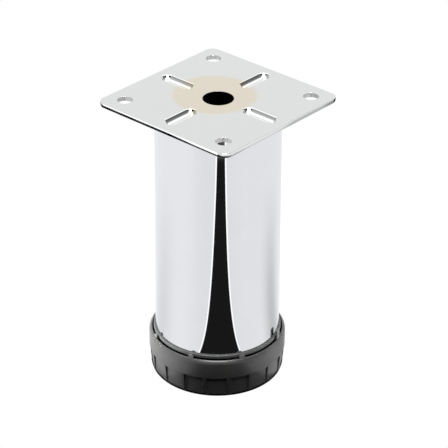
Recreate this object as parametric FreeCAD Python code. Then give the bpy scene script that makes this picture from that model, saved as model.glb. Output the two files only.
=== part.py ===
# Adjustable cabinet leg: a chromed steel tube under a square screw-on plate, with a moulded
# plastic levelling foot that screws in and out of a plug in the tube's lower end.
#
# Millimetres. The origin is at the centre of the foot's base, +Z runs up the tube, and the
# plate's sides lie along X and Y. The foot is shown screwed fully in.

import FreeCAD, Part
import math
import os

os.makedirs("parts", exist_ok=True)

# Overall height, from the floor to the top of the plate
leg_height = 100.0

# Mounting plate
plate_side = 55.0
plate_thickness = 1.5
plate_corner_radius = 3.0
plate_edge_bevel = 0.3
wood_screw_spacing = 42.0
wood_screw_hole_diameter = 5.0
centre_hole_diameter = 10.0
centre_hole_bevel = 0.35

# Pressed grooves on the plate's middle lines, measured from the leg's axis
groove_count = 4
groove_inner_end = 10.6
groove_outer_end = 24.6
groove_depth = 1.2
groove_floor_radius = 2.5
groove_rim_radius = 0.6
ridge_root_spread = 0.5
ridge_flank_angle = 45.0

# Leg tube
tube_diameter = 42.0
tube_wall = 1.0

# Plug in the tube's lower end
flange_thickness = 1.25
flange_overhang = 0.6
spigot_length = 18.0
spigot_wall = 1.6
spigot_gap = 0.4
spigot_lead_in = 1.0
crush_rib_count = 8
crush_rib_width = 1.2
crush_rib_clearance = 0.02
insert_floor = 2.0
insert_hub_wall = 2.6
insert_hub_roof = 4.0
insert_web_count = 8
insert_web_thickness = 1.4
insert_web_drop = 3.0
insert_bore_clearance = 0.3

# Captive nut
nut_across_flats = 17.0
nut_height = 8.0
nut_fit_clearance = 0.05

# Adjusting screw
screw_diameter = 10.0
screw_fit_clearance = 0.05
screw_end_chamfer = 1.2
screw_spare_length = 7.0
screw_head_diameter = 16.0
screw_head_thickness = 3.5
adjustment_range = 12.0

# Levelling foot
foot_height = 14.2
foot_to_flange_gap = 0.13
foot_rim_clearance = 0.5
foot_rim_wall = 0.35
foot_wall = 1.05
foot_floor = 2.5
foot_inner_step = 1.8
foot_base_edge_height = 0.95
foot_base_edge_taper = 0.25
foot_base_recess_depth = 0.6
foot_base_ring_width = 3.5
shoulder_height = 0.8
skirt_height = 7.9
skirt_taper = 0.6
foot_hub_wall = 2.0
foot_stop_clearance = 0.3
foot_web_count = 8
foot_web_thickness = 1.2
foot_web_height = 3.5
foot_rest_turn = 1.4

# Grip pockets round the foot's skirt
pocket_count = 18
pocket_top_depth = 0.55
pocket_base_depth = 0.3
pocket_rib_angle = 3.2
pocket_top_drop = 0.5

# Guide lugs on the foot's rim: every fourth one is tall
lug_count = 8
lug_clearance = 0.3
lug_thickness = 0.5
lug_root_depth = 3.0
first_lug_turn = 17.4
tall_lug_step = 4
tall_lug_height = 3.5
tall_lug_width = 2.0
short_lug_height = 1.2
short_lug_width = 1.8
lug_top_bevel = 0.4

# How far a cutting tool runs past the face that it cuts
tool_overrun = 1.0

# Heights and radii that follow from the sizes above
UP = FreeCAD.Vector(0, 0, 1)
ALONG = FreeCAD.Vector(1, 0, 0)
ORIGIN = FreeCAD.Vector(0, 0, 0)
tube_radius = tube_diameter / 2
tube_inner_radius = tube_radius - tube_wall
plate_underside = leg_height - plate_thickness
flange_bottom = foot_height + foot_to_flange_gap
flange_top = flange_bottom + flange_thickness
flange_radius = tube_radius + flange_overhang
spigot_top = flange_top + spigot_length
spigot_radius = tube_inner_radius - spigot_gap
nut_top = flange_bottom + nut_height
screw_radius = screw_diameter / 2
screw_head_radius = screw_head_diameter / 2
screw_top = nut_top + adjustment_range + screw_spare_length
foot_inner_radius = flange_radius + foot_rim_clearance
rim_outer_radius = foot_inner_radius + foot_rim_wall
foot_radius = foot_inner_radius + foot_wall
skirt_base_radius = foot_radius - skirt_taper
foot_base_radius = skirt_base_radius - foot_base_edge_taper
foot_hub_radius = screw_head_radius + screw_fit_clearance + foot_hub_wall
foot_hub_top = flange_bottom - foot_stop_clearance


def cylinder(radius, bottom, top):
    """Upright round bar on the leg's axis."""
    return Part.makeCylinder(radius, top - bottom, FreeCAD.Vector(0, 0, bottom), UP)


def outline(*corners):
    """Closed face in the XZ plane from its (x, z) corners."""
    points = [FreeCAD.Vector(x, 0, z) for x, z in corners]
    return Part.Face(Part.makePolygon(points + points[:1]))


def turned(face, angle=360.0):
    """Solid made by turning a face of the XZ plane about the leg's axis."""
    return face.revolve(ORIGIN, UP, angle)


def around(shape, count, start=0.0):
    """Copies of a shape, evenly spaced about the leg's axis."""
    copies = []
    for index in range(count):
        copy = shape.copy()
        copy.rotate(ORIGIN, UP, start + index * 360.0 / count)
        copies.append(copy)
    return copies


def join(first, others):
    """One solid from touching shapes, without the seams between them."""
    return first.fuse(others).removeSplitter()


def radial_bar(start, end, width, bottom, top):
    """Upright wall that runs out along +X from one radius to another."""
    corner = FreeCAD.Vector(start, -width / 2, bottom)
    return Part.makeBox(end - start, width, top - bottom, corner)


def edges_at_height(shape, height):
    """Edges that lie in one level plane."""
    found = []
    for edge in shape.Edges:
        box = edge.BoundBox
        if abs(box.ZMin - height) < 1e-6 and abs(box.ZMax - height) < 1e-6:
            found.append(edge)
    return found


def rounded_square(side, radius, bottom, height):
    """Square sheet with round corners, centred on the axis."""
    corner = FreeCAD.Vector(-side / 2, -side / 2, bottom)
    sheet = Part.makeBox(side, side, height, corner)
    uprights = [edge for edge in sheet.Edges if edge.BoundBox.ZLength > height / 2]
    return sheet.makeFillet(radius, uprights)


def groove_reach():
    """Half width of a groove at the plate's top, past the roll of its rim."""
    rise = groove_floor_radius - groove_depth + groove_rim_radius
    return math.sqrt((groove_floor_radius + groove_rim_radius) ** 2 - rise ** 2)


def pressed_form(section, inner_centre, outer_centre):
    """A half section carried along a line out from the axis, with turned ends."""
    inner = turned(section)
    outer = inner.copy()
    outer.rotate(ORIGIN, UP, 180)
    inner.translate(FreeCAD.Vector(inner_centre, 0, 0))
    outer.translate(FreeCAD.Vector(outer_centre, 0, 0))
    run = outer_centre - inner_centre
    walls = []
    for side in (90, -90):
        wall = section.copy()
        wall.rotate(ORIGIN, UP, side)
        wall.translate(FreeCAD.Vector(inner_centre, 0, 0))
        walls.append(wall.extrude(FreeCAD.Vector(run, 0, 0)))
    return join(inner, [outer] + walls)


def groove(inner_centre, outer_centre):
    """Tool for one groove: a bar with ball ends, and a bevel for the rolled rim."""
    centre = leg_height - groove_depth + groove_floor_radius
    bar_start = FreeCAD.Vector(inner_centre, 0, centre)
    bar_end = FreeCAD.Vector(outer_centre, 0, centre)
    bar = Part.makeCylinder(
        groove_floor_radius, outer_centre - inner_centre, bar_start, ALONG)
    balls = [Part.makeSphere(groove_floor_radius, end, ALONG) for end in (bar_start, bar_end)]
    slope = math.atan2(groove_floor_radius - groove_depth + groove_rim_radius, groove_reach())
    rim = outline(
        (0, centre - groove_floor_radius * math.sin(slope)),
        (groove_floor_radius * math.cos(slope), centre - groove_floor_radius * math.sin(slope)),
        (groove_reach(), leg_height),
        (groove_reach(), leg_height + tool_overrun),
        (0, leg_height + tool_overrun),
    )
    return join(pressed_form(rim, inner_centre, outer_centre), [bar] + balls)


def ridge(inner_centre, outer_centre):
    """Bevelled ridge that a groove raises on the plate's underside."""
    root = groove_reach() + ridge_root_spread
    section = outline(
        (0, plate_underside - groove_depth),
        (root - groove_depth / math.tan(math.radians(ridge_flank_angle)), plate_underside - groove_depth),
        (root, plate_underside),
        (root, plate_underside + plate_thickness / 2),
        (0, plate_underside + plate_thickness / 2),
    )
    return pressed_form(section, inner_centre, outer_centre)


def mounting_plate():
    """Pressed square plate: screw holes, centre hole and four grooves with ridges below."""
    sheet = rounded_square(plate_side, plate_corner_radius, plate_underside, plate_thickness)
    sheet = sheet.makeChamfer(plate_edge_bevel, edges_at_height(sheet, leg_height))

    ends = (groove_inner_end + groove_reach(), groove_outer_end - groove_reach())
    sheet = join(sheet, around(ridge(*ends), groove_count))
    sheet = sheet.cut(around(groove(*ends), groove_count))

    holes = [centre_hole()]
    wood_screw_hole = cylinder(
        wood_screw_hole_diameter / 2, plate_underside - tool_overrun, leg_height + tool_overrun)
    for x in (-wood_screw_spacing / 2, wood_screw_spacing / 2):
        for y in (-wood_screw_spacing / 2, wood_screw_spacing / 2):
            hole = wood_screw_hole.copy()
            hole.translate(FreeCAD.Vector(x, y, 0))
            holes.append(hole)
    return sheet.cut(holes)


def centre_hole():
    """Tool for the hole in the middle of the plate, with a bevelled upper edge."""
    radius = centre_hole_diameter / 2
    return turned(outline(
        (0, plate_underside - tool_overrun),
        (radius, plate_underside - tool_overrun),
        (radius, leg_height - centre_hole_bevel),
        (radius + centre_hole_bevel, leg_height),
        (radius + centre_hole_bevel, leg_height + tool_overrun),
        (0, leg_height + tool_overrun),
    ))


def leg_tube(plate):
    """Tube whose upper end is notched round the plate's ridges, where it is welded."""
    tube = turned(outline(
        (tube_inner_radius, flange_top),
        (tube_radius, flange_top),
        (tube_radius, plate_underside),
        (tube_inner_radius, plate_underside),
    ))
    return tube.cut(plate)


def hexagon(across_flats, bottom, top):
    """Upright hexagonal bar on the leg's axis."""
    corner_radius = across_flats / math.sqrt(3)
    corners = []
    for index in range(7):
        angle = math.radians(60 * index)
        corners.append(FreeCAD.Vector(
            corner_radius * math.cos(angle), corner_radius * math.sin(angle), bottom))
    return Part.Face(Part.makePolygon(corners)).extrude(FreeCAD.Vector(0, 0, top - bottom))


def tube_insert():
    """Moulded plug: flange under the tube, ribbed spigot in it, webs and a hub for the nut."""
    hub_radius = nut_across_flats / math.sqrt(3) + nut_fit_clearance + insert_hub_wall
    hub_top = nut_top + insert_hub_roof
    spigot_inner_radius = spigot_radius - spigot_wall
    body = turned(outline(
        (0, flange_bottom),
        (flange_radius, flange_bottom),
        (flange_radius, flange_top),
        (spigot_radius, flange_top),
        (spigot_radius, spigot_top - spigot_lead_in),
        (spigot_radius - spigot_lead_in / 2, spigot_top),
        (spigot_inner_radius, spigot_top),
        (spigot_inner_radius, flange_bottom + insert_floor),
        (hub_radius, flange_bottom + insert_floor),
        (hub_radius, hub_top),
        (0, hub_top),
    ))
    web = radial_bar(
        hub_radius - insert_hub_wall / 2, spigot_radius - spigot_wall / 2,
        insert_web_thickness, flange_bottom + insert_floor / 2, hub_top - insert_web_drop)
    crush_rib_radius = tube_inner_radius - crush_rib_clearance
    crush_rib = radial_bar(
        spigot_radius - spigot_wall / 2, tube_radius, crush_rib_width,
        flange_top, spigot_top - spigot_lead_in)
    crush_rib = crush_rib.common(cylinder(crush_rib_radius, flange_top, spigot_top))
    body = join(body, around(web, insert_web_count) + around(crush_rib, crush_rib_count))
    pocket = hexagon(nut_across_flats + 2 * nut_fit_clearance, flange_bottom - tool_overrun, nut_top)
    bore = cylinder(screw_radius + insert_bore_clearance, flange_bottom, hub_top + tool_overrun)
    return body.cut([pocket, bore])


def captive_nut():
    """Hexagon nut, pressed up into the plug's pocket."""
    blank = hexagon(nut_across_flats, flange_bottom, nut_top)
    bore_radius = screw_radius + screw_fit_clearance
    return blank.cut(cylinder(bore_radius, flange_bottom - tool_overrun, nut_top + tool_overrun))


def adjusting_screw():
    """Screw with a plain round head that sits on the foot's floor."""
    head_bottom = foot_floor + screw_fit_clearance
    head_top = head_bottom + screw_head_thickness
    return turned(outline(
        (0, head_bottom),
        (screw_head_radius, head_bottom),
        (screw_head_radius, head_top),
        (screw_radius, head_top),
        (screw_radius, screw_top - screw_end_chamfer),
        (screw_radius - screw_end_chamfer, screw_top),
        (0, screw_top),
    ))


def guide_lug(width, height):
    """Finger on the foot's rim that keeps it round the plug's flange; its top corners are bevelled."""
    inner = flange_radius + lug_clearance
    outer = inner + lug_thickness
    bottom = foot_height - lug_root_depth
    top = foot_height + height
    half = width / 2
    face = outline(
        (-half, bottom),
        (half, bottom),
        (half, top - lug_top_bevel),
        (half - lug_top_bevel, top),
        (lug_top_bevel - half, top),
        (-half, top - lug_top_bevel),
    )
    face.rotate(ORIGIN, UP, 90)
    bar = face.extrude(FreeCAD.Vector(2 * outer, 0, 0))
    ring = cylinder(outer, bottom, top).cut(cylinder(inner, bottom, top))
    return bar.common(ring)


def grip_pocket():
    """Tool for one recess in the foot's skirt, shallower towards the base."""
    top = skirt_height - pocket_top_drop
    outside = foot_radius + foot_wall
    face = outline(
        (skirt_base_radius - pocket_base_depth, foot_base_edge_height),
        (outside, foot_base_edge_height),
        (outside, top),
        (foot_radius - pocket_top_depth, top),
    )
    angle = 360.0 / pocket_count - pocket_rib_angle
    tool = turned(face, angle)
    tool.rotate(ORIGIN, UP, pocket_rib_angle / 2)
    return tool


def levelling_foot():
    """Moulded cup: hub round the screw's head, low webs, grip pockets and guide lugs."""
    ring_inner_radius = foot_base_radius - foot_base_ring_width
    inner_base_radius = foot_inner_radius - foot_inner_step
    cup = turned(outline(
        (0, foot_base_recess_depth),
        (ring_inner_radius, foot_base_recess_depth),
        (ring_inner_radius, 0),
        (foot_base_radius, 0),
        (skirt_base_radius, foot_base_edge_height),
        (foot_radius, skirt_height),
        (foot_radius, foot_height - shoulder_height),
        (rim_outer_radius, foot_height),
        (foot_inner_radius, foot_height),
        (foot_inner_radius, skirt_height),
        (inner_base_radius, skirt_height),
        (inner_base_radius, foot_floor),
        (foot_hub_radius, foot_floor),
        (foot_hub_radius, foot_hub_top),
        (0, foot_hub_top),
    ))
    web = radial_bar(
        foot_hub_radius - foot_hub_wall / 2, inner_base_radius + foot_wall / 2, foot_web_thickness,
        foot_floor / 2, foot_floor + foot_web_height)
    first_lug = foot_rest_turn + first_lug_turn
    tall_lugs = around(guide_lug(tall_lug_width, tall_lug_height), lug_count, first_lug)
    short_lugs = around(guide_lug(short_lug_width, short_lug_height), lug_count, first_lug)
    lugs = [
        short_lugs[index] if index % tall_lug_step else tall_lugs[index] for index in range(lug_count)]
    webs = around(web, foot_web_count, first_lug)
    cup = join(cup, webs + lugs)
    cup = cup.cut(around(grip_pocket(), pocket_count, foot_rest_turn))
    head_space = cylinder(
        screw_head_radius + screw_fit_clearance, foot_floor,
        foot_floor + screw_head_thickness + 2 * screw_fit_clearance)
    shank_bore = cylinder(
        screw_radius + screw_fit_clearance, foot_floor, foot_hub_top + tool_overrun)
    return cup.cut([head_space, shank_bore])


plate = mounting_plate()
pieces = {
    "mounting_plate": plate,
    "leg_tube": leg_tube(plate),
    "tube_insert": tube_insert(),
    "captive_nut": captive_nut(),
    "adjusting_screw": adjusting_screw(),
    "levelling_foot": levelling_foot(),
}
for name, shape in pieces.items():
    solid = shape.Solids[0] if len(shape.Solids) == 1 else shape
    print(name, "solids", len(shape.Solids), "valid", solid.isValid(), "volume", round(solid.Volume, 1))
    solid.exportStep("parts/" + name + ".step")
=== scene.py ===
# Looks of an adjustable cabinet leg: a chromed tube under a square chromed plate, on a moulded
# levelling foot. +Z is up, and the origin is under the middle of the foot. The leg's pieces are
# shaped in millimetres, and each is scaled to metres when it is finished.

import bpy
import bmesh
import math
from mathutils import Matrix, Vector


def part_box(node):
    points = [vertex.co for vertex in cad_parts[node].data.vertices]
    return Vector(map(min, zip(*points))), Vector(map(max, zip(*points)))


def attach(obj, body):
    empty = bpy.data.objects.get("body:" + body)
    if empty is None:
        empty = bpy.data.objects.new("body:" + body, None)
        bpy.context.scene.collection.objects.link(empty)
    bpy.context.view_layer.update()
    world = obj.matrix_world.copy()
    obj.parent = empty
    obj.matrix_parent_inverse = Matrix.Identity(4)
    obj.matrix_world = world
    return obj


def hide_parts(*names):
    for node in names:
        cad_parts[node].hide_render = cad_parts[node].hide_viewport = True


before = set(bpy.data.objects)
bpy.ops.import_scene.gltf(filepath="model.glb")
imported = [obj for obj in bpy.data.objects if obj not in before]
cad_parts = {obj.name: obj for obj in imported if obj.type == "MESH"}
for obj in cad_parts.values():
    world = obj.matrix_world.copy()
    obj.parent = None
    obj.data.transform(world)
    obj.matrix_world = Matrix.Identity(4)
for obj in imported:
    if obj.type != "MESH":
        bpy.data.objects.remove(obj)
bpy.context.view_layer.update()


# Camera: a long lens on the plate's front corner, looking down at the leg by 30 degrees. It was
# fitted to the plate's corners and the foot's outline as the photograph shows them. In metres.
view_azimuth = math.radians(41.61)
view_elevation = math.radians(30.15)
view_roll = math.radians(0.37)
view_position = Vector((0.36717, -0.41025, 0.37345))
lens_mm = 154.6
sensor_mm = 36.0

front = Vector((math.sin(view_azimuth), -math.cos(view_azimuth), 0))
side = Vector((math.cos(view_azimuth), math.sin(view_azimuth), 0))
away = front * math.cos(view_elevation) + Vector((0, 0, math.sin(view_elevation)))
above = side.cross(-away)
right = side * math.cos(view_roll) + above * math.sin(view_roll)
up = above * math.cos(view_roll) - side * math.sin(view_roll)
camera_data = bpy.data.cameras.new("camera")
camera_data.lens = lens_mm
camera_data.sensor_width = sensor_mm
camera_data.clip_start = 0.01
camera = bpy.data.objects.new("camera", camera_data)
bpy.context.scene.collection.objects.link(camera)
camera.matrix_world = Matrix.Translation(view_position) @ Matrix((right, up, away)).transposed().to_4x4()
bpy.context.scene.camera = camera


# Floor: pale, with the dark strip that the chrome shows. Mirrors see one sheet of it, and another
# lights the plastic. The camera sees neither, because the foot goes lower when it is unscrewed.
# In millimetres.
class Value:
    """A number from a shader socket that takes part in plain arithmetic."""

    def __init__(self, tree, socket):
        self.tree = tree
        self.socket = socket

    def maths(self, operation, *values):
        return self.tree.node("ShaderNodeMath", {"operation": operation}, list(values))

    def __add__(self, other):
        return self.maths("ADD", self, other)

    def __radd__(self, other):
        return self.maths("ADD", other, self)

    def __sub__(self, other):
        return self.maths("SUBTRACT", self, other)

    def __rsub__(self, other):
        return self.maths("SUBTRACT", other, self)

    def __mul__(self, other):
        return self.maths("MULTIPLY", self, other)

    def __rmul__(self, other):
        return self.maths("MULTIPLY", other, self)

    def __pow__(self, other):
        return self.maths("POWER", self, other)

    def __abs__(self):
        return self.maths("ABSOLUTE", self)

    def ease(self, low, high, start=0.0, end=1.0):
        """Soft step from start to end while this number goes from low to high."""
        ends = {"Value": self, "From Min": low, "From Max": high, "To Min": start, "To Max": end}
        return self.tree.node("ShaderNodeMapRange", {"interpolation_type": "SMOOTHSTEP"}, ends)

    def turn_from(self, ahead):
        """Angle in degrees of a place this far to the right and that far ahead."""
        return self.maths("ARCTAN2", self, ahead) * (180 / math.pi)

    def grey(self):
        """The number as a colour."""
        return self.tree.node("ShaderNodeCombineColor", inputs=[self, self, self])


class Shader:
    """The nodes of a material or of the surroundings."""

    def __init__(self, owner):
        owner.use_nodes = True
        self.owner = owner
        self.nodes = owner.node_tree.nodes
        self.links = owner.node_tree.links
        self.nodes.clear()

    def node(self, kind, settings=None, inputs=None, output=0):
        made = self.nodes.new(kind)
        for name, setting in (settings or {}).items():
            setattr(made, name, setting)
        pairs = enumerate(inputs) if isinstance(inputs, list) else (inputs or {}).items()
        for key, value in pairs:
            if isinstance(value, Value):
                self.links.new(value.socket, made.inputs[key])
            else:
                made.inputs[key].default_value = value
        return Value(self, made.outputs[output]) if made.outputs else None

    def place(self):
        """Where the shaded point lies in its piece, as x, y and z in millimetres."""
        here = self.node("ShaderNodeTexCoord", output=3)
        return [1000 * self.node("ShaderNodeSeparateXYZ", inputs=[here], output=axis) for axis in range(3)]

    def noise(self, size, detail=2.0):
        """Noise of about the given size in millimetres."""
        here = self.node("ShaderNodeTexCoord", output=3)
        return self.node("ShaderNodeTexNoise", inputs={
            "Vector": here, "Scale": 1000 / size, "Detail": detail})

    def mix(self, factor, first, second):
        """First colour where the factor is 0, second where it is 1."""
        return self.node("ShaderNodeMix", {"data_type": "RGBA"}, {0: factor, 6: first, 7: second}, 2)

    def surface(self, **inputs):
        inputs = {name.replace("_", " "): value for name, value in inputs.items()}
        shine = self.node("ShaderNodeBsdfPrincipled", inputs=inputs)
        self.node("ShaderNodeOutputMaterial", inputs={"Surface": shine})
        return self.owner


def reach(x, y):
    """Distance of a place from the one where x and y are both 0."""
    return (x * x + y * y) ** 0.5


def even(tone):
    """The same grey all over."""
    def glow(shader):
        return (tone, tone, tone, 1)
    return glow


def glowing(name, shape, seen_by, glow, shown=None):
    """A glowing thing of the studio that one kind of ray sees: camera, glossy or diffuse."""
    mesh = bpy.data.meshes.new(name)
    shape.to_mesh(mesh)
    shape.free()
    shader = Shader(bpy.data.materials.new(name + "_glow"))
    light = shader.node("ShaderNodeEmission", inputs={"Color": glow(shader)})
    if shown:
        clear = shader.node("ShaderNodeBsdfTransparent")
        light = shader.node("ShaderNodeMixShader", inputs=[shown(shader), clear, light])
    shader.node("ShaderNodeOutputMaterial", inputs={"Surface": light})
    mesh.materials.append(shader.owner)
    made = bpy.data.objects.new(name, mesh)
    bpy.context.scene.collection.objects.link(made)
    made.visible_shadow = False
    for kind in ("camera", "glossy", "diffuse"):
        setattr(made, "visible_" + kind, kind == seen_by)


def sheet(name, corners, seen_by, glow, shown=None):
    """Flat glowing sheet from its four corners."""
    shape = bmesh.new()
    shape.faces.new([shape.verts.new(Vector(corner) / 1000) for corner in corners])
    glowing(name, shape, seen_by, glow, shown)


def level_sheet(name, height, seen_by, glow):
    signs = ((-1, -1), (1, -1), (1, 1), (-1, 1))
    corners = [(x * floor_half_width, y * floor_half_width, height) for x, y in signs]
    sheet(name, corners, seen_by, glow)


floor_half_width = 2000
strip_turn = math.radians(5.5)
strip_shift = -1.0
strip_half_width = 21.3
strip_bulge = 1.3
strip_glow = 0.011
strip_far_glow = 8 * strip_glow
strip_far_start = 184
line_glow = 1.35
line_growth = 0.04
line_start = 10.5
right_patch = (72, 102, 132, 0.33)
left_patch = (-145, -103, -65, 0.155)
patch_fade = (40, 165)
# Painted contact shadow in the mirrored floor: black up to this radius, then fading over this width.
contact_shadow_radius = 22.0
contact_shadow_fade = 3.5
back_glow = 0.27
bounce_glow = 2.4


def mirrored_floor(shader):
    """White with the dark strip towards the camera, a light line along both edges of the strip, and
    a soft grey patch on each side of the leg. A patch is given by the turns in degrees where it
    starts, is darkest and ends, and by its depth. A painted contact shadow makes all of it black
    where the foot stands and fades out just beyond the foot."""
    x, y, z = shader.place()
    along = front * math.cos(strip_turn) + side * math.sin(strip_turn)
    beside = side * math.cos(strip_turn) - front * math.sin(strip_turn)
    ahead = x * along.x + y * along.y
    across = x * beside.x + y * beside.y - strip_shift
    distance = reach(ahead, across)
    turn = across.turn_from(ahead) + math.degrees(strip_turn)
    in_front = ahead.ease(-1, 1)
    bulge = ahead.ease(45, 100, 0, strip_bulge) * ahead.ease(120, 180, 1, 0) * across.ease(-1, 1, 1, 0)
    past_edge = abs(across) - strip_half_width - bulge
    strip = past_edge.ease(-0.4, 0.4, 1, 0) * in_front
    line = (past_edge - line_growth * (ahead - line_start)).ease(-0.4, 0.4, 1, 0) * in_front
    plain = turn.ease(-56, -20, 1.0, 0.92) + turn.ease(20, 50, 0, 0.03)
    plain = plain + abs(turn).ease(145, 155, 0, back_glow)
    for start, middle, end, depth in (right_patch, left_patch):
        patch = turn.ease(start, middle) * turn.ease(middle, end, 1, 0) * distance.ease(*patch_fade, depth, 0)
        plain = plain * (1 - patch)
    lit = plain * (1 - line) + line_glow * line
    dark = ahead.ease(strip_far_start, strip_far_start + 10, strip_glow, strip_far_glow)
    lit = lit * (1 - strip) + dark * strip
    return (lit * distance.ease(contact_shadow_radius, contact_shadow_radius + contact_shadow_fade)).grey()


def bounce(shader):
    """What the floor gives back to the plastic: light from the sides, little from the front."""
    x, y, z = shader.place()
    turn = (x * side.x + y * side.y).turn_from(x * front.x + y * front.y)
    return abs(turn).ease(28, 85, 0.0, bounce_glow).grey()


level_sheet("mirrored_floor", -0.2, "glossy", mirrored_floor)
level_sheet("floor_bounce", -0.4, "diffuse", bounce)


# Edge cards: narrow bands beside the plate for its edge to mirror, as strips of card in a studio.
# They draw the light and dark lines along the edge, and show no wider than it needs. Millimetres.
card_place = 46.6
card_bottom = 81
card_top = 91
card_left_end = 7.4
card_front_end = -2.8
card_right_end = 49
edge_middle = 99.25
edge_half_height = 1.1
corner_middle = 24.5
corner_start = 2.5


def at_side(slope, rise):
    """Height on a straight side of the plate where the card's point is mirrored to the camera."""
    def height(shader):
        return slope * shader.place()[2] + rise
    return height


def at_corner(x_sign, y_sign, slope):
    """The same height on a rounded corner of the plate."""
    def height(shader):
        x, y, z = shader.place()
        out = reach(x - x_sign * corner_middle, y - y_sign * corner_middle)
        return z + slope * (out - corner_start)
    return height


def two_tones(height, border, light, dark):
    """Light above the border height and dark below it."""
    above_border = (height - border).ease(-0.1, 0.1)
    return (light * above_border + dark * (1 - above_border)).grey()


left_side = at_side(0.9525, 17.75)
right_side = at_side(0.9468, 19.88)
left_round = at_corner(-1, -1, 0.497)
front_round = at_corner(1, -1, 0.533)
right_round = at_corner(1, 1, 0.494)


def left_edge(shader):
    """White line above black."""
    x, y, z = shader.place()
    return two_tones(left_side(shader), x.ease(-14, 0, 99.43, 99.12), 1.5, 0.0)


def left_corner(shader):
    """The same line, above black that turns grey towards the back."""
    x, y, z = shader.place()
    return two_tones(left_round(shader), edge_middle, 1.3, y.ease(-44, -20, 0.0, 0.5))


def front_corner(shader):
    """Light line that widens to the right, above black that turns grey."""
    x, y, z = shader.place()
    border = y.ease(-40, -10, 99.4, 99.0)
    return two_tones(front_round(shader), border, 0.95, y.ease(-30, -5, 0.01, 0.4))


def right_edge(shader):
    """Light line above grey, darker towards the plate's corners."""
    x, y, z = shader.place()
    grey = y.ease(-2, 8, 0.35, 0.72) * y.ease(21, 28, 1, 0.8) * y.ease(42, 48, 1, 0.55)
    return two_tones(right_side(shader), y.ease(18, 30, 98.95, 99.65), 0.93, grey)


def edge_card(name, start, end, height, glow):
    """Upright band from one place to another, shown only where the edge mirrors it."""
    def shown(shader):
        return (edge_half_height - abs(height(shader) - edge_middle)).ease(-0.02, 0.02)
    corners = [(*start, card_bottom), (*end, card_bottom), (*end, card_top), (*start, card_top)]
    sheet(name, corners, "glossy", glow, shown)


left_turn = (-card_place, -card_place)
front_turn = (card_place, -card_place)
right_turn = (card_place, card_right_end)
left_stop = (card_left_end, -card_place)
right_start = (card_place, card_front_end)
edge_card("left_corner_card", (-card_place, 2), left_turn, left_round, left_corner)
edge_card("left_card", left_turn, left_stop, left_side, left_edge)
edge_card("front_left_card", left_stop, front_turn, front_round, front_corner)
edge_card("front_right_card", front_turn, right_start, front_round, front_corner)
edge_card("right_card", right_start, right_turn, right_side, right_edge)
edge_card("right_corner_card", right_turn, (-6, card_right_end), right_round, even(0.03))


# Front screen: grey and behind the camera, for the plate's top to mirror when the leg is seen from
# the back. In millimetres.
screen_distance = 1500
screen_half_width = 1260
screen_bottom = 320
screen_top = 1790
screen_glow = 0.45
screen_corners = [
    (*(screen_distance * front + across * screen_half_width * side).xy, height)
    for across, height in ((-1, screen_bottom), (1, screen_bottom), (1, screen_top), (-1, screen_top))]
sheet("front_screen", screen_corners, "glossy", even(screen_glow))


# Sky: soft overhead light that the plate's top mirrors, dark towards the camera and high up on both
# sides. dz is how steeply a ray looks up, from 0 when level to 1 when upright.
sky = bpy.data.worlds.new("studio")
bpy.context.scene.world = sky
shader = Shader(sky)
direction = shader.node("ShaderNodeTexCoord", output=0)
dx, dy, dz = [shader.node("ShaderNodeSeparateXYZ", inputs=[direction], output=axis) for axis in range(3)]
to_camera = dx * front.x + dy * front.y
to_right = dx * side.x + dy * side.y
upper = dz.ease(0.30, 0.46, 1.0, 0.91) + dz.ease(0.52, 0.72, 0, 0.75) - dz.ease(0.93, 0.965, 0, 0.85)
dark_sides = to_right.ease(-0.3, 0.3, 0.68, 0.86) * abs(to_right).ease(0.3, 0.6) * dz.ease(0.4, 0.5)
dark_high_front = 0.95 * to_camera.ease(0.0, 0.3) * dz.ease(0.1, 0.3)
dark_front = 0.98 * to_camera.ease(0.05, 0.5)
above_floor = dz.ease(-0.02, 0.0)
tone = upper * (1 - dark_sides) * (1 - dark_high_front) * (1 - dark_front) * above_floor
shader.node("ShaderNodeOutputWorld", inputs={
    "Surface": shader.node("ShaderNodeBackground", inputs={"Color": tone.grey()})})


# Backdrop and lamps: a white dome that the camera alone sees, as the photograph's white ground, and
# three soft lamps, of which only the front one shows as a shine. In metres.
dome_radius = 4.5
lamp_size = 0.35
lamp_distance = 0.8
dome = bmesh.new()
bmesh.ops.create_icosphere(dome, subdivisions=3, radius=dome_radius)
glowing("backdrop", dome, "camera", even(1))


def lamp(name, turn, elevation, power, shine=False):
    """Soft square lamp, which shows as a shine only where asked."""
    data = bpy.data.lights.new(name, "AREA")
    data.size = lamp_size
    data.energy = power
    made = bpy.data.objects.new(name, data)
    bpy.context.scene.collection.objects.link(made)
    level = front * math.cos(math.radians(turn)) + side * math.sin(math.radians(turn))
    ray = level * math.cos(math.radians(elevation)) + Vector((0, 0, math.sin(math.radians(elevation))))
    made.matrix_world = ray.to_track_quat("Z", "Y").to_matrix().to_4x4()
    made.location = ray * lamp_distance
    made.visible_glossy = shine


lamp("left_lamp", -110, 12, 42)
lamp("right_lamp", 105, 12, 9)
lamp("front_lamp", 0, 70, 8, shine=True)
bpy.context.scene.view_settings.view_transform = "Standard"


# Leg tube: thin steel tube, buffed and chrome plated outside and dull inside, welded to the
# plate's underside; its bore is painted near black as shade. It has no seam outside, and its lower
# end is deburred for the plastic plug.
sharp_angle = math.radians(35)


def corners_of(node):
    """Lowest and highest corner of a CAD piece in millimetres."""
    return [Vector(corner) * 1000 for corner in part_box(node)]


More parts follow.
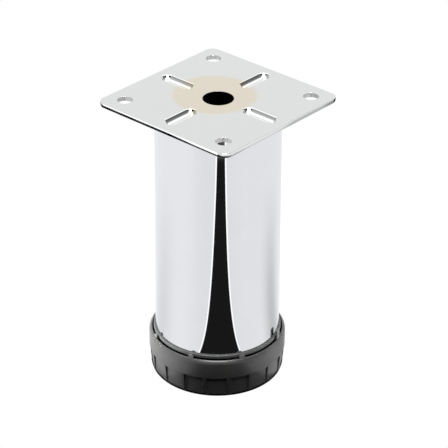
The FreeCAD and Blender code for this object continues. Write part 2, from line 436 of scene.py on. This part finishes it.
def turned(corners, steps=160, closed=True):
    """Form turned about the leg's axis from (radius, height, rounding) corners."""
    shape = bmesh.new()
    points = [shape.verts.new((radius, 0, height)) for radius, height, rounding in corners]
    shape.faces.new(points)
    spare = [edge for edge in shape.edges if edge.verts[0].co.x + edge.verts[1].co.x < 1e-4]
    if not closed:
        spare.append(shape.edges.get((points[0], points[-1])))
    for point, (radius, height, rounding) in zip(points, corners):
        if rounding:
            bmesh.ops.bevel(
                shape, geom=[point], affect="VERTICES", offset=rounding, segments=5, profile=0.5,
                material=-1)
    bmesh.ops.delete(shape, geom=shape.faces[:], context="FACES_ONLY")
    bmesh.ops.delete(shape, geom=[edge for edge in spare if edge.is_valid], context="EDGES")
    bmesh.ops.spin(
        shape, geom=shape.verts[:] + shape.edges[:], cent=(0, 0, 0), axis=(0, 0, 1), dvec=(0, 0, 0),
        angle=math.tau, steps=steps, use_merge=True, use_duplicate=False)
    bmesh.ops.remove_doubles(shape, verts=shape.verts[:], dist=1e-5)
    bmesh.ops.recalc_face_normals(shape, faces=shape.faces[:])
    return shape


def soften(shape, size, edges=None, segments=2):
    """Round the sharp edges among those given."""
    sharp = [edge for edge in (edges or shape.edges) if len(edge.link_faces) == 2
             and edge.calc_face_angle() > sharp_angle]
    bmesh.ops.bevel(
        shape, geom=sharp, affect="EDGES", offset=size, segments=segments, profile=0.5, material=-1,
        clamp_overlap=True)


def piece(shape, name, material, body, node):
    """A finished piece, modelled in millimetres, that stands for a CAD node and rides on its body."""
    bmesh.ops.scale(shape, verts=shape.verts, vec=(0.001, 0.001, 0.001))
    mesh = bpy.data.meshes.new(name)
    shape.to_mesh(mesh)
    shape.free()
    mesh.shade_smooth()
    mesh.set_sharp_from_angle(angle=sharp_angle)
    mesh.materials.append(material)
    made = bpy.data.objects.new(name, mesh)
    bpy.context.scene.collection.objects.link(made)
    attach(made, body)
    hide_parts(node)
    return made


def even_shading(made):
    """Let the broad faces of a piece shade flat beside their rounded edges."""
    shading = made.modifiers.new("even_shading", "WEIGHTED_NORMAL")
    shading.keep_sharp = True


tube_low, tube_high = corners_of("leg_tube")
tube_radius = tube_high.x
tube_wall = 1.0
tube_bore_radius = tube_radius - tube_wall
chrome_grey = (0.775, 0.785, 0.815, 1)
chrome_bright = (0.79, 0.795, 0.82, 1)
painted_bore_shade = (0.05, 0.05, 0.05, 1)
shader = Shader(bpy.data.materials.new("tube_chrome"))
haze = shader.noise(9.0)
x, y, z = shader.place()
# Inside the bore the colour is near black, which is painted shade; the added roughness there is the bore's
# dull finish.
inside = reach(x, y).ease(tube_bore_radius + 0.1, tube_bore_radius + 0.3, 1, 0)
plating = shader.mix(haze.ease(0.35, 0.65), chrome_grey, chrome_bright)
tube_chrome = shader.surface(
    Base_Color=shader.mix(inside, plating, painted_bore_shade),
    Metallic=1.0, Roughness=haze.ease(0.3, 0.7, 0.02, 0.035) + 0.45 * inside)
tube = turned([
    (tube_bore_radius, tube_low.z, 0.1),
    (tube_radius, tube_low.z, 0.25),
    (tube_radius, tube_high.z, 0),
    (tube_bore_radius, tube_high.z, 0),
], steps=192)
even_shading(piece(tube, "polished_tube", tube_chrome, "leg", "leg_tube"))


# Mounting plate: square of pressed steel sheet, blanked, pierced and stiffened by four pressed
# grooves, then chrome plated. The weld's heat left a straw-coloured zone round the centre hole.
plate_low, plate_high = corners_of("mounting_plate")
plate_half = (plate_high.x - plate_low.x) / 2
plate_top = plate_high.z
plate_thickness = 1.5
plate_corner_radius = 3.0
screw_hole_radius = 2.5
screw_hole_place = 21.0
centre_hole_radius = 5.0
centre_hole_rounding = 0.09
outer_rounding = 0.14
edge_rounding = 0.05
groove_half_width = 2.45
groove_inner_end = 10.6
groove_outer_end = 24.6
groove_depth = 1.2
groove_floor_radius = 2.5
groove_rim_radius = 0.6
groove_rim_steps = 6
groove_floor_steps = 10
ridge_radius = groove_floor_radius + plate_thickness
ridge_half_width = math.sqrt(ridge_radius ** 2 - (ridge_radius - groove_depth) ** 2)
straw_x = -2.6
straw_y = 1.2
straw_radius = 12.6
straw_fade = 2.4
plate_silver = (0.80, 0.81, 0.81, 1)
straw_colour = (0.81, 0.75, 0.635, 1)
pierced_grey = (0.58, 0.58, 0.58, 1)
# Near-black colour of the centre hole's rounded rim: painted shade.
centre_rim_shade_grey = (0.10, 0.10, 0.10, 1)


def ring(shape, radius, x, y, z, segments):
    """Round wire loop; its edges are returned."""
    made = bmesh.ops.create_circle(shape, cap_ends=False, segments=segments, radius=radius)
    bmesh.ops.translate(shape, verts=made["verts"], vec=(x, y, z))
    return list({edge for vert in made["verts"] for edge in vert.link_edges})


def long_oval(shape, half_width, inner_end, outer_end, turn, z, upwards):
    """Flat face with round ends along a line out from the axis."""
    made = bmesh.ops.create_grid(shape, x_segments=1, y_segments=1, size=1)
    verts = made["verts"]
    bmesh.ops.scale(shape, verts=verts, vec=((outer_end - inner_end) / 2, half_width, 1))
    bmesh.ops.translate(shape, verts=verts, vec=((outer_end + inner_end) / 2, 0, z))
    if not upwards:
        bmesh.ops.reverse_faces(shape, faces=[verts[0].link_faces[0]])
    before = set(shape.verts) - set(verts)
    bmesh.ops.bevel(
        shape, geom=verts, affect="VERTICES", offset=half_width, segments=10, profile=0.5, material=-1)
    oval = [vert for vert in shape.verts if vert not in before]
    bmesh.ops.remove_doubles(shape, verts=oval, dist=1e-3)
    oval = [vert for vert in shape.verts if vert not in before]
    bmesh.ops.rotate(shape, verts=oval, cent=(0, 0, 0), matrix=Matrix.Rotation(turn, 3, "Z"))
    return oval[0].link_faces[0]


def sink(shape, face, section):
    """Press a flat face in by steps of a section given as (distance from the edge, depth)."""
    for (last_in, last_depth), (now_in, now_depth) in zip(section, section[1:]):
        bmesh.ops.inset_individual(
            shape, faces=[face], thickness=now_in - last_in, depth=-(now_depth - last_depth),
            use_even_offset=True)


def groove_section():
    """Rolled rim and round floor of a groove."""
    slope = math.acos(groove_half_width / (groove_floor_radius + groove_rim_radius))
    section = []
    for step in range(groove_rim_steps + 1):
        angle = (math.pi / 2 - slope) * step / groove_rim_steps
        section.append((
            groove_rim_radius * math.sin(angle), groove_rim_radius * (1 - math.cos(angle))))
    for step in range(1, groove_floor_steps):
        angle = slope + (math.pi / 2 - slope) * step / groove_floor_steps
        section.append((
            groove_half_width - groove_floor_radius * math.cos(angle),
            groove_depth - groove_floor_radius * (1 - math.sin(angle))))
    return section


def ridge_section():
    """Round ridge that a groove raises below the sheet."""
    start = math.acos(ridge_half_width / ridge_radius)
    section = [(0, 0)]
    for step in range(1, groove_floor_steps):
        angle = start + (math.pi / 2 - start) * step / groove_floor_steps
        section.append((
            ridge_half_width - ridge_radius * math.cos(angle),
            -(groove_depth - ridge_radius * (1 - math.sin(angle)))))
    return section


def plate_face(shape, edges, upwards):
    """Top or bottom face of the sheet within its outline and holes, with its grooves or ridges."""
    z = plate_top if upwards else plate_top - plate_thickness
    half_width = groove_half_width if upwards else ridge_half_width
    spread = half_width - groove_half_width
    ovals = [
        long_oval(shape, half_width, groove_inner_end - spread, groove_outer_end + spread,
                  quarter * math.pi / 2, z, upwards)
        for quarter in range(4)]
    oval_edges = [edge for face in ovals for edge in face.edges]
    bmesh.ops.triangle_fill(
        shape, use_beauty=True, edges=edges + oval_edges, normal=(0, 0, 1 if upwards else -1))
    section = groove_section() if upwards else ridge_section()
    for face in ovals:
        sink(shape, face, section)


def top_edges(shape, chosen):
    """Edges of the plate's top face whose middles are chosen."""
    found = []
    for edge in shape.edges:
        middle = (edge.verts[0].co + edge.verts[1].co) / 2
        level = abs(edge.verts[0].co.z - plate_top) + abs(edge.verts[1].co.z - plate_top) < 1e-3
        if level and chosen(middle):
            found.append(edge)
    return found


def at_centre_hole(place):
    return place.xy.length < centre_hole_radius + 1


def at_outline(place):
    return max(abs(place.x), abs(place.y)) > screw_hole_place + 3


def pressed_plate():
    shape = bmesh.new()
    bmesh.ops.create_grid(shape, x_segments=1, y_segments=1, size=plate_half)
    bmesh.ops.translate(shape, verts=shape.verts, vec=(0, 0, plate_top))
    bmesh.ops.bevel(
        shape, geom=shape.verts[:], affect="VERTICES", offset=plate_corner_radius, segments=12,
        profile=0.5, material=-1)
    bmesh.ops.delete(shape, geom=shape.faces[:], context="FACES_ONLY")
    for x in (-screw_hole_place, screw_hole_place):
        for y in (-screw_hole_place, screw_hole_place):
            ring(shape, screw_hole_radius, x, y, plate_top, 40)
    ring(shape, centre_hole_radius, 0, 0, plate_top, 64)
    outline = shape.edges[:]
    plate_face(shape, outline, True)
    walls = bmesh.ops.extrude_edge_only(shape, edges=outline)["geom"]
    lower = [item for item in walls if isinstance(item, bmesh.types.BMVert)]
    bmesh.ops.translate(shape, verts=lower, vec=(0, 0, -plate_thickness))
    outline = [item for item in walls if isinstance(item, bmesh.types.BMEdge)
               and max(vert.co.z for vert in item.verts) < plate_top - plate_thickness + 0.01]
    plate_face(shape, outline, False)
    bmesh.ops.recalc_face_normals(shape, faces=shape.faces[:])
    soften(shape, centre_hole_rounding, top_edges(shape, at_centre_hole), 3)
    soften(shape, outer_rounding, top_edges(shape, at_outline))
    soften(shape, edge_rounding)
    shape.normal_update()
    return shape


def steady_normals(shape):
    """Shading normals that keep flat faces flat up to their rounded edges."""
    normals = []
    for vert in shape.verts:
        level = [face.normal for face in vert.link_faces if abs(face.normal.z) > 0.9999]
        broad = sum((face.normal * face.calc_area() ** 3 for face in vert.link_faces), Vector())
        normals.append(tuple(level[0] if level else broad.normalized()))
    return normals


shader = Shader(bpy.data.materials.new("plate_chrome"))
cloud = shader.noise(5.0, 4.0)
x, y, z = shader.place()
from_screw_hole = reach(abs(x) - screw_hole_place, abs(y) - screw_hole_place)
pierced = from_screw_hole.ease(screw_hole_radius + 0.01, screw_hole_radius + 0.04, 1, 0)
# Painted shade: the centre hole's rounded rim is coloured near black, which dims the front lamp's glint on
# it.
centre_rim_shade = reach(x, y).ease(centre_hole_radius + 0.07, centre_hole_radius + 0.1, 1, 0)
from_weld = reach(x - straw_x, y - straw_y) + 1.5 * (cloud - 0.5)
straw = from_weld.ease(straw_radius, straw_radius + straw_fade, 1, 0)
plating = shader.mix(straw, plate_silver, straw_colour)
plating = shader.mix(pierced, plating, pierced_grey)
plate_chrome = shader.surface(
    Base_Color=shader.mix(centre_rim_shade, plating, centre_rim_shade_grey),
    Metallic=1.0, Roughness=cloud.ease(0.3, 0.7, 0.03, 0.05) + 0.27 * pierced)
plate_shape = pressed_plate()
plate_normals = steady_normals(plate_shape)
plate = piece(plate_shape, "pressed_plate", plate_chrome, "leg", "mounting_plate")
plate.data.normals_split_custom_set_from_vertices(plate_normals)


# Plug: grey moulded plastic, pressed into the tube's lower end by ribs on its spigot. Its flange
# shows as a thin band under the tube, and a hexagon pocket in its underside holds the nut.
insert_low, insert_high = corners_of("tube_insert")
nut_low, nut_high = corners_of("captive_nut")
flange_radius = insert_high.x
flange_bottom = insert_low.z
flange_top = tube_low.z
spigot_top = insert_high.z
spigot_radius = tube_bore_radius - 0.4
spigot_wall = 1.6
spigot_lead_in = 1.0
spigot_bore_radius = spigot_radius - spigot_wall
insert_floor = 2.0
insert_floor_top = flange_bottom + insert_floor
nut_corner_radius = nut_high.x
nut_pocket_radius = nut_corner_radius + 0.06
insert_mouth_radius = nut_corner_radius + 2
insert_hub_radius = nut_corner_radius + 2.65
insert_hub_top = nut_high.z + 4.0
insert_bore_radius = 5.3
insert_rib_count = 8
insert_rib_width = 1.4
insert_rib_root = 1.0
insert_rib_drop = 3.0
press_rib_width = 1.2
press_rib_gap = 0.02
insert_grey = (0.062, 0.064, 0.064, 1)
insert_light_grey = (0.074, 0.076, 0.075, 1)


def upright_block(shape, start, end, width, bottom, top, turn):
    """Block that runs out from one radius to another at a given turn."""
    made = bmesh.ops.create_cube(shape, size=1)["verts"]
    bmesh.ops.scale(shape, verts=made, vec=(end - start, width, top - bottom))
    bmesh.ops.translate(shape, verts=made, vec=((end + start) / 2, 0, (top + bottom) / 2))
    bmesh.ops.rotate(shape, verts=made, cent=(0, 0, 0), matrix=Matrix.Rotation(turn, 3, "Z"))
    return made


def hexagon(shape, corner_radius, height):
    """Six-sided wire loop with a corner on the X axis; its edges are returned."""
    edges = ring(shape, corner_radius, 0, 0, height, 6)
    corners = list({vert for edge in edges for vert in edge.verts})
    bmesh.ops.rotate(shape, verts=corners, cent=(0, 0, 0), matrix=Matrix.Rotation(math.pi / 2, 3, "Z"))
    return edges


def plug():
    shape = turned([
        (insert_mouth_radius, flange_bottom, 0),
        (flange_radius, flange_bottom, 0.3),
        (flange_radius, flange_top, 0.22),
        (spigot_radius, flange_top, 0),
        (spigot_radius, spigot_top - spigot_lead_in, 0),
        (spigot_radius - spigot_lead_in / 2, spigot_top, 0.2),
        (spigot_bore_radius, spigot_top, 0.2),
        (spigot_bore_radius, insert_floor_top, 0.5),
        (insert_hub_radius, insert_floor_top, 0.5),
        (insert_hub_radius, insert_hub_top, 0.3),
        (insert_bore_radius, insert_hub_top, 0.2),
        (insert_bore_radius, nut_high.z, 0),
    ], closed=False)
    seams = [edge for edge in shape.edges if edge.is_boundary]
    mouth = [edge for edge in seams if edge.verts[0].co.z < nut_high.z - 1]
    roof = [edge for edge in seams if edge not in mouth]
    pocket = hexagon(shape, nut_pocket_radius, flange_bottom)
    bmesh.ops.triangle_fill(shape, use_beauty=True, edges=mouth + pocket, normal=(0, 0, -1))
    walls = bmesh.ops.extrude_edge_only(shape, edges=pocket)["geom"]
    upper_corners = [item for item in walls if isinstance(item, bmesh.types.BMVert)]
    bmesh.ops.translate(shape, verts=upper_corners, vec=(0, 0, nut_high.z - flange_bottom))
    top = [item for item in walls if isinstance(item, bmesh.types.BMEdge) and item.is_boundary]
    bmesh.ops.triangle_fill(shape, use_beauty=True, edges=roof + top, normal=(0, 0, -1))
    bmesh.ops.recalc_face_normals(shape, faces=shape.faces[:])
    middle_of_wall = spigot_radius - spigot_wall / 2
    for index in range(insert_rib_count):
        turn = index * math.tau / insert_rib_count
        upright_block(
            shape, insert_hub_radius - insert_rib_root, middle_of_wall, insert_rib_width,
            flange_bottom + insert_rib_root, insert_hub_top - insert_rib_drop, turn)
        upright_block(
            shape, middle_of_wall, tube_bore_radius - press_rib_gap, press_rib_width,
            flange_top + press_rib_gap, spigot_top - spigot_lead_in, turn)
    return shape


shader = Shader(bpy.data.materials.new("insert_plastic"))
grain = shader.noise(0.3, 3.0)
tone = shader.noise(6.0)
insert_plastic = shader.surface(
    Base_Color=shader.mix(tone.ease(0.3, 0.7), insert_grey, insert_light_grey),
    Roughness=grain.ease(0.3, 0.7, 0.34, 0.44),
    Normal=shader.node("ShaderNodeBump", inputs={"Strength": 0.2, "Distance": 0.00003, "Height": grain}))
even_shading(piece(plug(), "tube_plug", insert_plastic, "leg", "tube_insert"))


# Nut: plain steel hexagon, zinc plated, pressed up into the plug. Its corners are turned off at
# both ends, and its bore clears the screw's thread, whose hold is not modelled.
nut_bore_radius = 5.05
nut_corner_cut = 0.8


def hexagon_nut():
    shape = bmesh.new()
    outside = hexagon(shape, nut_corner_radius, nut_low.z)
    bore = ring(shape, nut_bore_radius, 0, 0, nut_low.z, 48)
    bmesh.ops.triangle_fill(shape, use_beauty=True, edges=outside + bore, normal=(0, 0, -1))
    raised = bmesh.ops.extrude_face_region(shape, geom=shape.faces[:])["geom"]
    upper_corners = [item for item in raised if isinstance(item, bmesh.types.BMVert)]
    bmesh.ops.translate(shape, verts=upper_corners, vec=(0, 0, nut_high.z - nut_low.z))
    bmesh.ops.recalc_face_normals(shape, faces=shape.faces[:])
    corners = [vert for vert in shape.verts if vert.co.xy.length > nut_corner_radius - 0.1]
    bmesh.ops.bevel(
        shape, geom=corners, affect="VERTICES", offset=nut_corner_cut, segments=1, profile=0.5,
        material=-1)
    return shape


def zinc_plate(name, tone_low, tone_high):
    """Bright zinc plate with the faint clouding of a barrel finish."""
    shader = Shader(bpy.data.materials.new(name))
    cloud = shader.noise(2.5, 4.0)
    return shader.surface(
        Base_Color=shader.mix(cloud.ease(0.3, 0.7), tone_low, tone_high),
        Metallic=1.0, Roughness=cloud.ease(0.25, 0.75, 0.26, 0.4))


nut_zinc = zinc_plate("nut_steel", (0.50, 0.51, 0.53, 1), (0.58, 0.59, 0.60, 1))
even_shading(piece(hexagon_nut(), "hexagon_nut", nut_zinc, "leg", "captive_nut"))


# Screw: rolled steel thread on a plain round head, zinc plated. The head is moulded into the
# foot's hub, so screw and foot are turned together by hand.
screw_low, screw_high = corners_of("adjusting_screw")
screw_radius = 5.0
screw_pitch = 1.5
thread_depth = 0.92
thread_root_radius = screw_radius - thread_depth
turn_steps = 40
head_radius = screw_high.x
head_top = screw_low.z + 3.5
neck_radius = screw_radius - 0.4
neck_top = head_top + 0.8
thread_bottom = head_top + 0.2


def rolled_thread():
    """Threaded rod, cut off level at both ends."""
    shape = bmesh.new()
    start = thread_bottom - screw_pitch
    flank = [
        (thread_root_radius, 0), (screw_radius, 0.42), (screw_radius, 0.58), (thread_root_radius, 0.97),
        (thread_root_radius, 1)]
    points = [shape.verts.new((radius, 0, start + share * screw_pitch)) for radius, share in flank]
    edges = [shape.edges.new(pair) for pair in zip(points, points[1:])]
    turns = math.ceil((screw_high.z - start) / screw_pitch) + 1
    bmesh.ops.spin(
        shape, geom=points + edges, cent=(0, 0, 0), axis=(0, 0, 1), dvec=(0, 0, screw_pitch / turn_steps),
        angle=math.tau * turns, steps=turns * turn_steps, use_merge=False, use_duplicate=False)
    bmesh.ops.remove_doubles(shape, verts=shape.verts[:], dist=1e-4)
    for height, facing in ((thread_bottom, -1), (screw_high.z, 1)):
        bmesh.ops.bisect_plane(
            shape, geom=shape.verts[:] + shape.edges[:] + shape.faces[:], plane_co=(0, 0, height),
            plane_no=(0, 0, facing), clear_outer=True)
    bmesh.ops.holes_fill(shape, edges=[edge for edge in shape.edges if edge.is_boundary], sides=0)
    return shape


def threaded_screw():
    """Thread, neck and round head in one."""
    thread = bpy.data.meshes.new("thread")
    rod = rolled_thread()
    rod.to_mesh(thread)
    rod.free()
    shape = turned([
        (0, screw_low.z, 0), (head_radius, screw_low.z, 0.3), (head_radius, head_top, 0.3),
        (neck_radius, head_top, 0), (neck_radius, neck_top, 0), (0, neck_top, 0),
    ], steps=96)
    shape.from_mesh(thread)
    bpy.data.meshes.remove(thread)
    bmesh.ops.recalc_face_normals(shape, faces=shape.faces[:])
    return shape


screw_zinc = zinc_plate("screw_steel", (0.53, 0.54, 0.56, 1), (0.62, 0.63, 0.64, 1))
piece(threaded_screw(), "threaded_screw", screw_zinc, "screw", "adjusting_screw")


# Levelling foot: dark grey plastic cup, moulded in one with the hub round the screw's head. Grip
# pockets ring its skirt, and guide lugs on its rim stand round the plug's flange.
foot_low, foot_high = corners_of("levelling_foot")
foot_radius = (foot_high.x - foot_low.x) / 2
rim_height = 14.2
rim_inner_radius = 22.1
rim_width = 0.35
shoulder_height = 0.8
skirt_height = 7.9
skirt_base_radius = foot_radius - 0.6
base_edge_height = 0.95
base_radius = skirt_base_radius - 0.25
base_ring_width = 3.5
base_recess = 0.6
inner_ledge_radius = 20.3
foot_floor = 2.5
foot_hub_radius = 10.05
foot_hub_top = flange_bottom - 0.3
screw_gap = 0.05
head_room = 0.1
pocket_count = 18
pocket_top = 7.4
pocket_top_depth = 0.55
pocket_base_depth = 0.3
pocket_rounding = 0.12
columns_per_pocket = 12
foot_rest_turn = math.radians(1.4)
first_lug_turn = math.radians(17.4)
lug_count = 8
tall_lug_step = 4
lug_inner_radius = flange_radius + 0.3
lug_thickness = 0.5
lug_rounding = 0.5
lug_root = rim_height - 3.0
tall_lug = (2.0, foot_high.z)
short_lug = (1.8, rim_height + 1.2)
web_width = 1.2
web_height = 3.5
web_start = foot_hub_radius - 1.0
web_end = inner_ledge_radius + 0.4
foot_grey = (0.040, 0.041, 0.040, 1)
foot_light_grey = (0.048, 0.049, 0.047, 1)
skirt_shade_grey = (0.024, 0.024, 0.024, 1)
lit_lug_grey = (0.105, 0.106, 0.104, 1)
base_shade_black = (0.006, 0.006, 0.006, 1)


def cup():
    """The foot without its lugs: rim, skirt, base ring, hub and the space for the screw's head."""
    share = (pocket_top - base_edge_height) / (skirt_height - base_edge_height)
    pocket_top_radius = skirt_base_radius + (foot_radius - skirt_base_radius) * share
    return turned([
        (0, base_recess, 0),
        (base_radius - base_ring_width, base_recess, 0.2),
        (base_radius - base_ring_width, 0, 0.2),
        (base_radius, 0, 0.12),
        (skirt_base_radius, base_edge_height, 0),
        (pocket_top_radius, pocket_top, 0),
        (foot_radius, skirt_height, 0),
        (foot_radius, rim_height - shoulder_height, 0.45),
        (rim_inner_radius + rim_width, rim_height, 0.28),
        (rim_inner_radius, rim_height, 0.08),
        (rim_inner_radius, skirt_height, 0),
        (inner_ledge_radius, skirt_height, 0.3),
        (inner_ledge_radius, foot_floor, 0.5),
        (foot_hub_radius, foot_floor, 0.5),
        (foot_hub_radius, foot_hub_top, 0.4),
        (screw_radius + screw_gap, foot_hub_top, 0.3),
        (screw_radius + screw_gap, head_top + head_room, 0),
        (head_radius + screw_gap, head_top + head_room, 0),
        (head_radius + screw_gap, foot_floor, 0),
        (0, foot_floor, 0),
    ], steps=pocket_count * columns_per_pocket)


def press_pockets(shape):
    """Sink a pocket between each pair of ribs, deeper at the top."""
    pitch = 360 / pocket_count
    rib = pitch / columns_per_pocket
    sunk = []
    for face in shape.faces:
        middle = face.calc_center_median()
        turn = math.degrees(math.atan2(middle.y, middle.x)) % pitch
        on_skirt = middle.xy.length > foot_radius - 1.2
        if on_skirt and base_edge_height < middle.z < pocket_top and rib < turn < pitch - rib:
            sunk.append(face)
    floor_parts = bmesh.ops.extrude_face_region(shape, geom=sunk)["geom"]
    bmesh.ops.delete(shape, geom=sunk, context="FACES")
    for vert in floor_parts:
        if isinstance(vert, bmesh.types.BMVert):
            share = (vert.co.z - base_edge_height) / (pocket_top - base_edge_height)
            depth = pocket_base_depth + share * (pocket_top_depth - pocket_base_depth)
            vert.co.xy *= 1 - depth / vert.co.xy.length
    edges = [edge for edge in shape.edges
             if base_edge_height - 0.01 < edge.verts[0].co.z < pocket_top + 0.01
             and edge.verts[0].co.xy.length > foot_radius - 1.5]
    soften(shape, pocket_rounding, edges)


def guide_lug(shape, width, top, turn):
    """Finger on the rim with rounded upper corners."""
    outer_radius = lug_inner_radius + lug_thickness
    made = upright_block(shape, lug_inner_radius, outer_radius, width, lug_root, top, turn)
    edges = {edge for vert in made for edge in vert.link_edges}
    crown = [edge for edge in edges if edge.verts[0].co.z > top - 0.01 and edge.verts[1].co.z > top - 0.01
             and edge.calc_length() < lug_thickness + 0.01]
    bmesh.ops.bevel(
        shape, geom=crown, affect="EDGES", offset=lug_rounding, segments=4, profile=0.5, material=-1)


def moulded_foot():
    shape = cup()
    press_pockets(shape)
    for index in range(lug_count):
        turn = first_lug_turn + index * math.tau / lug_count
        width, top = short_lug if index % tall_lug_step else tall_lug
        guide_lug(shape, width, top, turn)
        upright_block(
            shape, web_start, web_end, web_width, foot_floor / 2, foot_floor + web_height, turn)
    bmesh.ops.rotate(
        shape, verts=shape.verts, cent=(0, 0, 0), matrix=Matrix.Rotation(foot_rest_turn, 3, "Z"))
    return shape


shader = Shader(bpy.data.materials.new("foot_plastic"))
grain = shader.noise(0.35, 3.0)
tone = shader.noise(5.0)
x, y, z = shader.place()
plastic = shader.mix(tone.ease(0.3, 0.7), foot_grey, foot_light_grey)
# Painted shade: the skirt's colour darkens towards the bottom.
plastic = shader.mix(z.ease(6.5, 13.0, 0.5, 0), plastic, skirt_shade_grey)
# Painted light: the guide lugs above the rim are coloured lighter, as if lit.
plastic = shader.mix(z.ease(rim_height + 0.02, rim_height + 0.2), plastic, lit_lug_grey)
# Painted shade: the lowest millimetre of the foot is near black, as shade along its base edge.
foot_plastic = shader.surface(
    Base_Color=shader.mix(z.ease(0.9, 1.2, 1, 0), plastic, base_shade_black),
    Roughness=grain.ease(0.3, 0.7, 0.28, 0.36),
    Normal=shader.node("ShaderNodeBump", inputs={"Strength": 0.25, "Distance": 0.00004, "Height": grain}))
even_shading(piece(moulded_foot(), "moulded_foot", foot_plastic, "foot", "levelling_foot"))
